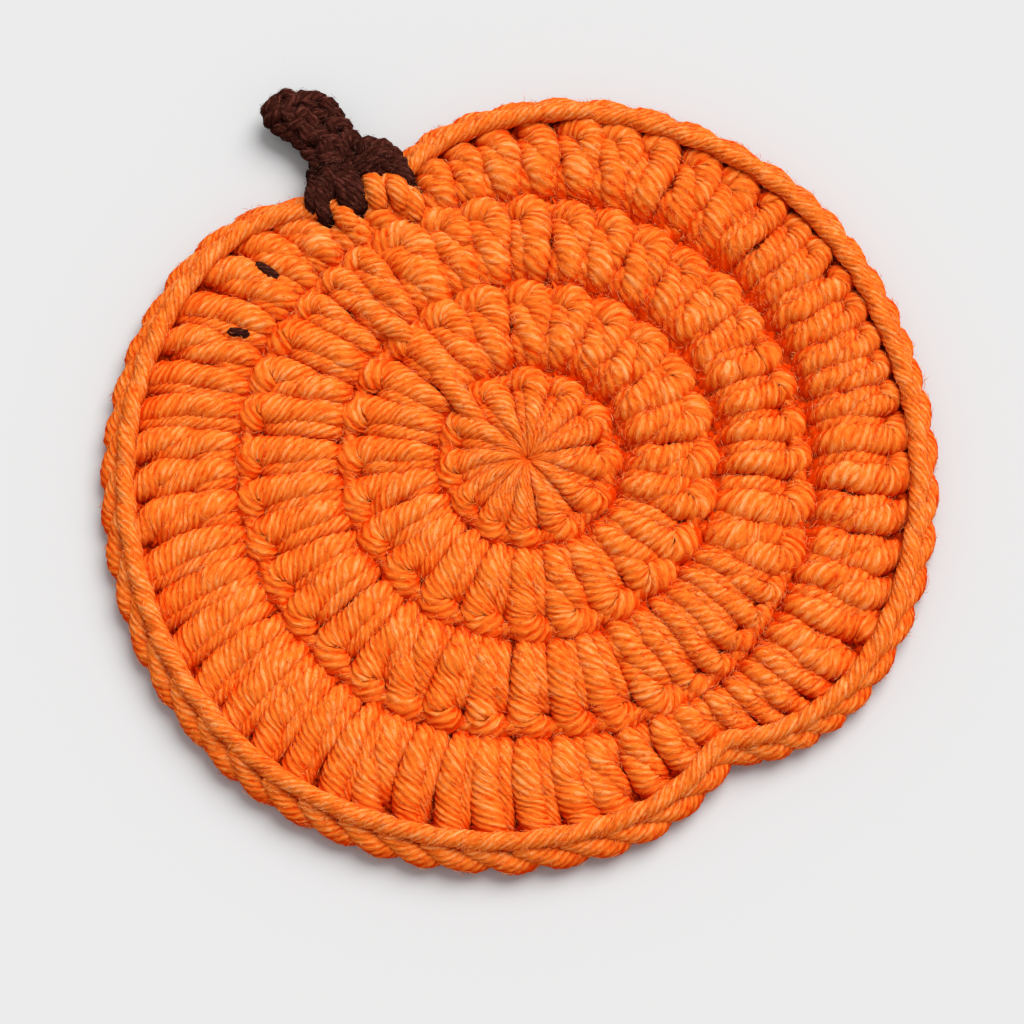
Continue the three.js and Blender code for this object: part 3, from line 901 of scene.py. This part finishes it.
def edge_loops(yarn, edge, height):
    """A loop that stands out at each of these places, from under its neighbour."""
    edge = np.array(edge)
    forward = unit(np.gradient(edge, axis=0))
    outward = np.stack([-forward[:, 1], forward[:, 0]], -1)
    for spot, ahead, out in zip(edge, forward, outward):
        spot = spot + rng.normal(0, EDGE_SPREAD, 2)
        small_loop(yarn, EDGE_LOOP, spot, out, ahead, height)


def stem_yarns(material):
    """The stem's rows, the loops along its edge, and its strands over the body's rim."""
    yarn = Yarn(STEM_MAKE)
    stem_rows(yarn)
    edge_loops(yarn, STEM_EDGE, STEM_MIDDLE)
    edge_loops(yarn, LOBE_EDGE, LOBE_MIDDLE)
    for path in STEM_STRANDS:
        yarn.add(path, BROWN_RADIUS, BROWN_LEAD)
    return yarn.mesh("stem_yarn", material), yarn


def tail_yarn(material):
    """The woven-in tail of the stem's yarn."""
    yarn = Yarn(STEM_MAKE)
    yarn.add(TAIL, BROWN_RADIUS * TAIL_SIZE, BROWN_LEAD)
    return yarn.mesh("stem_tail", material)


# Fibres that stand out from the yarn


def seen_roots(roots, cover):
    """Those roots that nothing covers from above, and those at the rim that face outward."""
    spot, out = roots[:, :3], roots[:, 3:6]
    cell = tuple(np.floor(spot[:, :2].T / CELL).astype(int) + CELLS // 2)
    tops = np.full((CELLS, CELLS), -1.0)
    np.maximum.at(tops, cell, spot[:, 2])
    clear = (spot[:, 2] > tops[cell] - cover) & (out[:, 2] > FACING_UP)
    radius = np.hypot(spot[:, 0], spot[:, 1])
    turn = np.degrees(np.arctan2(spot[:, 0], spot[:, 1])) % FULL_TURN
    facing = np.sum(unit(spot[:, :2]) * out[:, :2], axis=1) > FACING_OUT
    outer = radius > ring_radius(OUTLINE, turn) - OUTER_BAND
    return roots[(clear & (radius > BARE_CENTRE)) | (facing & outer)]


def fibres(fuzz, roots, material):
    """Short curly fibres on the yarn, each a thin closed sliver with a point at both ends."""
    roots = roots[fuzz_rng.permutation(len(roots))[: fuzz.count]]
    count = len(roots)
    root, out, run = roots[:, None, :3], roots[:, None, 3:6], roots[:, None, 6:9]
    across = np.cross(out, run)
    along = np.linspace(0, 1, 3)
    length = fuzz_rng.uniform(fuzz.shortest, fuzz.longest, (count, 1))
    slant = fuzz_rng.normal(0, SLANT_SPREAD, (count, 1))
    curl = fuzz_rng.normal(0, CURL_SPREAD, (count, 1))
    angle = slant + curl * (along - 0.5)
    way = np.cos(angle)[..., None] * run + np.sin(angle)[..., None] * across
    steps = way * (length / 2)[..., None]
    walked = np.cumsum(steps, axis=1) - steps[:, :1]
    arch = np.pi * along * fuzz_rng.uniform(*ARCH_SHARE, (count, 1))
    lift = fuzz_rng.uniform(*ARCH_HEIGHT, (count, 1)) * np.sin(arch) - ROOT_DEPTH
    line = root + walked + lift[..., None] * out
    line[..., 2] = np.clip(line[..., 2], 2 * fuzz.radius, None)
    beside = np.cross(way, out)[:, 1:2]
    around = np.radians(FIBRE_SIDES)[:, None]
    middle = line[:, 1:2] + fuzz.radius * (np.cos(around) * beside + np.sin(around) * out)
    points = np.concatenate([line[:, :1], middle, line[:, 2:]], axis=1).reshape(-1, 3)
    faces = np.arange(count)[:, None, None] * FIBRE_POINTS + np.array(FIBRE_FACES)
    piece = new_piece(fuzz.name, points, np.zeros((0, 4), int), faces.reshape(-1, 3), material)
    add_values(piece, "shade", np.repeat(fuzz_rng.normal(0, 1, count), FIBRE_POINTS))
    return piece


# Materials


def new_material(name):
    """An empty material, and its node tree."""
    material = bpy.data.materials.new(name)
    material.use_nodes = True
    material.node_tree.nodes.clear()
    return material, material.node_tree


def fill(tree, node, inputs):
    """Sets each of these inputs to a value, or links it to another node's output."""
    for name, value in inputs.items():
        if isinstance(value, bpy.types.NodeSocket):
            tree.links.new(value, node.inputs[name])
        else:
            node.inputs[name].default_value = value
    return node


def add_surface(tree, inputs):
    """A shader with these inputs, on a new output."""
    shader = fill(tree, tree.nodes.new("ShaderNodeBsdfPrincipled"), inputs)
    output = tree.nodes.new("ShaderNodeOutputMaterial")
    fill(tree, output, {"Surface": shader.outputs["BSDF"]})


def add_wool(tree, colour, sheen, more=None):
    """A soft matt surface with a faint sheen, and with any more inputs that are given."""
    inputs = {
        "Base Color": colour,
        "Roughness": ROUGHNESS,
        "Specular IOR Level": WOOL_GLOSS,
        "Sheen Weight": SHEEN_WEIGHT,
        "Sheen Roughness": SHEEN_ROUGHNESS,
        "Sheen Tint": (*sheen, 1),
    }
    add_surface(tree, {**inputs, **(more or {})})


def bumps(tree, height, distance):
    """The shader input for bumps, so many millimetres high."""
    inputs = {"Strength": BUMP_STRENGTH, "Distance": distance * MM, "Height": height}
    bump = fill(tree, tree.nodes.new("ShaderNodeBump"), inputs)
    return {"Normal": bump.outputs["Normal"]}


def multiply_add(tree, value, factor, addend):
    """An output times a factor, plus a number or another output."""
    node = tree.nodes.new("ShaderNodeMath")
    node.operation = "MULTIPLY_ADD"
    return fill(tree, node, {0: value, 1: factor, 2: addend}).outputs["Value"]


def tone_ramp(tree, tone, stops):
    """Colours along a tone, from stops of a position and a colour."""
    ramp = fill(tree, tree.nodes.new("ShaderNodeValToRGB"), {"Fac": tone})
    elements = ramp.color_ramp.elements
    while len(elements) < len(stops):
        elements.new(0.5)
    for element, (position, colour) in zip(elements, stops):
        element.position = position
        element.color = (*colour, 1)
    return ramp.outputs["Color"]


def scaled(tree, where, scale):
    """The coordinates, scaled along each axis."""
    mapping = tree.nodes.new("ShaderNodeMapping")
    return fill(tree, mapping, {"Vector": where, "Scale": scale}).outputs["Vector"]


def noise(tree, where, scale, detail, distortion=0, dimensions="2D", output="Fac"):
    """Noise over the scaled coordinates."""
    texture = tree.nodes.new("ShaderNodeTexNoise")
    texture.noise_dimensions = dimensions
    where = scaled(tree, where, scale)
    inputs = {"Vector": where, "Scale": 1, "Detail": detail, "Distortion": distortion}
    return fill(tree, texture, inputs).outputs[output]


def wandering(tree, where, amount, scale):
    """The coordinates, pushed about a little by smooth noise."""
    push = tree.nodes.new("ShaderNodeVectorMath")
    push.operation = "MULTIPLY_ADD"
    way = noise(tree, where, scale, detail=1, output="Color")
    return fill(tree, push, {0: way, 1: amount, 2: where}).outputs["Vector"]


def tuft_highlights(tree, where, scale):
    """Staggered cells with a painted highlight in their middle and painted shade between them."""
    cells = tree.nodes.new("ShaderNodeTexVoronoi")
    cells.voronoi_dimensions = "2D"
    where = scaled(tree, where, scale)
    fill(tree, cells, {"Vector": where, "Scale": 1, "Randomness": LEAF_DISORDER})
    return multiply_add(tree, cells.outputs["Distance"], -LEAF_FALL, TUFT_HIGHLIGHT)


def attribute(tree, name):
    """A number that the mesh has at each point."""
    node = tree.nodes.new("ShaderNodeAttribute")
    node.attribute_name = name
    return node.outputs["Fac"]


def yarn_material(name, dark, middle, light):
    """Plied wool: tufts along each ply, with painted highlight on its crest and painted shade
    deeper down.
    """
    material, tree = new_material(name)
    yarn_map = tree.nodes.new("ShaderNodeUVMap")
    yarn_map.uv_map = "yarn"
    where = wandering(tree, yarn_map.outputs["UV"], amount=(0.7, 0.7, 0), scale=(0.5, 0.5, 1))
    fibre = noise(tree, where, scale=(1.2, 5.5, 1), detail=3, distortion=0.8)
    tuft = noise(tree, where, scale=(0.45, 1.1, 1), detail=1, distortion=0.4)
    weights = [
        (fibre, 0.33),
        (tuft, 0.28),
        (tuft_highlights(tree, where, scale=(0.8, 3.0, 1)), 0.15),
        # Painted light and shade from the mesh: crests lighter, grooves and deep yarn darker
        (attribute(tree, "painted_ply_shade"), 0.17),
        (attribute(tree, "shade"), 0.05),
    ]
    tone = 0
    for value, weight in weights:
        tone = multiply_add(tree, value, weight, tone)
    colour = tone_ramp(tree, tone, [(0.225, dark), (0.505, middle), (0.80, light)])
    add_wool(tree, colour, middle, bumps(tree, fibre, 0.14))
    return material


def shaded_felt_material(name, dark, light):
    """Felted wool between the yarns, coloured dark as painted shade of the deep gaps."""
    material, tree = new_material(name)
    where = tree.nodes.new("ShaderNodeTexCoord").outputs["Object"]
    scale = (FELT_SCALE, FELT_SCALE, FELT_SCALE)
    fibre = noise(tree, where, scale, detail=3, distortion=1.5, dimensions="3D")
    colour = tone_ramp(tree, fibre, [(0.35, dark), (0.7, light)])
    add_wool(tree, colour, light, bumps(tree, fibre, 0.2))
    return material


def fibre_material(name, dark, light):
    """Single fibres, some of them paler than others."""
    material, tree = new_material(name)
    tone = multiply_add(tree, attribute(tree, "shade"), PALER_SPREAD, 0.5)
    colour = tone_ramp(tree, tone, [(0.2, dark), (0.8, light)])
    add_wool(tree, colour, light)
    return material


# The dark end of each wool's tones also serves as painted shade in grooves and deep in the cloth,
# and the light end as painted highlight on crests
ORANGE = yarn_material(
    "orange_wool",
    dark=(0.69, 0.038, 0.0005),
    middle=(0.88, 0.188, 0.018),
    light=(0.92, 0.44, 0.175),
)
# The web is painted darker than the wool: painted shade of the deep gaps between the yarns
ORANGE_WEB_SHADE = shaded_felt_material("orange_web_painted_shade", dark=(0.36, 0.020, 0.0015), light=(0.62, 0.062, 0.006))
ORANGE_FIBRE = fibre_material("orange_fibre", dark=(0.76, 0.10, 0.005), light=(0.96, 0.40, 0.13))
BROWN = yarn_material(
    "brown_wool",
    dark=(0.009, 0.0016, 0.0009),
    middle=(0.046, 0.0102, 0.0066),
    light=(0.20, 0.054, 0.036),
)
BROWN_FIBRE = fibre_material("brown_fibre", dark=(0.05, 0.015, 0.012), light=(0.22, 0.09, 0.065))


# Pieces


def settle(piece, node):
    """The piece lies on the one body and stands for a node."""
    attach(piece, "root")
    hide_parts(node)


def dress_body():
    """The orange pieces of the body."""
    made = [round_of_stitches(work, ORANGE) for work in ROUNDS]
    made.append(rim_lobes("rim_rope", ROPE, ORANGE))
    made.append(rim_lobes("rim_chain", CHAIN, ORANGE))
    made.append(joins(ORANGE))
    roots = np.concatenate([rows for _, yarn in made for rows in yarn.roots])
    made.append(back_of_rounds(ORANGE))
    pieces = [piece for piece, _ in made]
    seen = seen_roots(roots, BODY_COVER)
    pieces.append(fibres(BODY_FUZZ, seen, ORANGE_FIBRE))
    pieces.append(fibres(BODY_HAIRS, seen, ORANGE_FIBRE))
    web = web_sheet(ORANGE_WEB_SHADE)
    for piece in [*pieces, web]:
        settle(piece, "coaster_body")


def dress_stem():
    """The brown pieces of the stem."""
    stem, yarn = stem_yarns(BROWN)
    roots = seen_roots(np.concatenate(yarn.roots), STEM_COVER)
    for piece in (stem, fibres(STEM_FUZZ, roots, BROWN_FIBRE), tail_yarn(BROWN)):
        settle(piece, "stem")


dress_body()
dress_stem()


# Floor, light and camera


def floor():
    """A plain pale floor."""
    material, tree = new_material("pale_floor")
    colour = (FLOOR_SHADE, FLOOR_SHADE, FLOOR_SHADE, 1)
    add_surface(tree, {"Base Color": colour, "Roughness": ROUGHNESS, "Specular IOR Level": 0})
    mesh = bpy.data.meshes.new("floor")
    signs = [(-1, -1), (1, -1), (1, 1), (-1, 1)]
    corners = [(across * FLOOR_HALF_WIDTH, along * FLOOR_HALF_WIDTH, 0) for across, along in signs]
    mesh.from_pydata(corners, [], [(0, 1, 2, 3)])
    mesh.materials.append(material)
    ground = bpy.data.objects.new("floor", mesh)
    bpy.context.scene.collection.objects.link(ground)


def studio():
    """Soft light from all round, with a broad lamp from above."""
    scene = bpy.context.scene
    scene.view_settings.view_transform = "Standard"
    world = bpy.data.worlds.new("studio")
    world.use_nodes = True
    sky = world.node_tree.nodes["Background"]
    sky.inputs["Color"].default_value = (1, 1, 1, 1)
    sky.inputs["Strength"].default_value = SKY_STRENGTH
    scene.world = world
    sun = bpy.data.lights.new("key", "SUN")
    sun.energy = KEY_STRENGTH
    sun.angle = math.radians(KEY_SPREAD)
    lamp = bpy.data.objects.new("key", sun)
    lamp.rotation_mode = "QUATERNION"
    lamp.rotation_quaternion = Vector(KEY_DIRECTION).to_track_quat("Z", "Y")
    scene.collection.objects.link(lamp)


def camera():
    """The camera, which looks down on the coaster from its lower left."""
    elevation = math.radians(CAMERA_ELEVATION)
    azimuth = math.radians(CAMERA_AZIMUTH)
    level = math.cos(elevation)
    back = Vector((math.sin(azimuth) * level, -math.cos(azimuth) * level, math.sin(elevation)))
    right = Vector((math.cos(azimuth), math.sin(azimuth), 0))
    up = back.cross(right)
    lens = bpy.data.cameras.new("camera")
    lens.lens = CAMERA_FOCAL
    lens.sensor_width = CAMERA_SENSOR
    lens.clip_start = NEAREST_SEEN
    lens.clip_end = FURTHEST_SEEN
    view = bpy.data.objects.new("camera", lens)
    spot = Vector((0, 0, AIM_HEIGHT)) + back * CAMERA_DISTANCE
    spot += right * CAMERA_AIM[0] + up * CAMERA_AIM[1]
    rotation = Matrix((right, up, back)).transposed()
    view.matrix_world = Matrix.Translation(spot * MM) @ rotation.to_4x4()
    bpy.context.scene.collection.objects.link(view)
    bpy.context.scene.camera = view


floor()
studio()
camera()
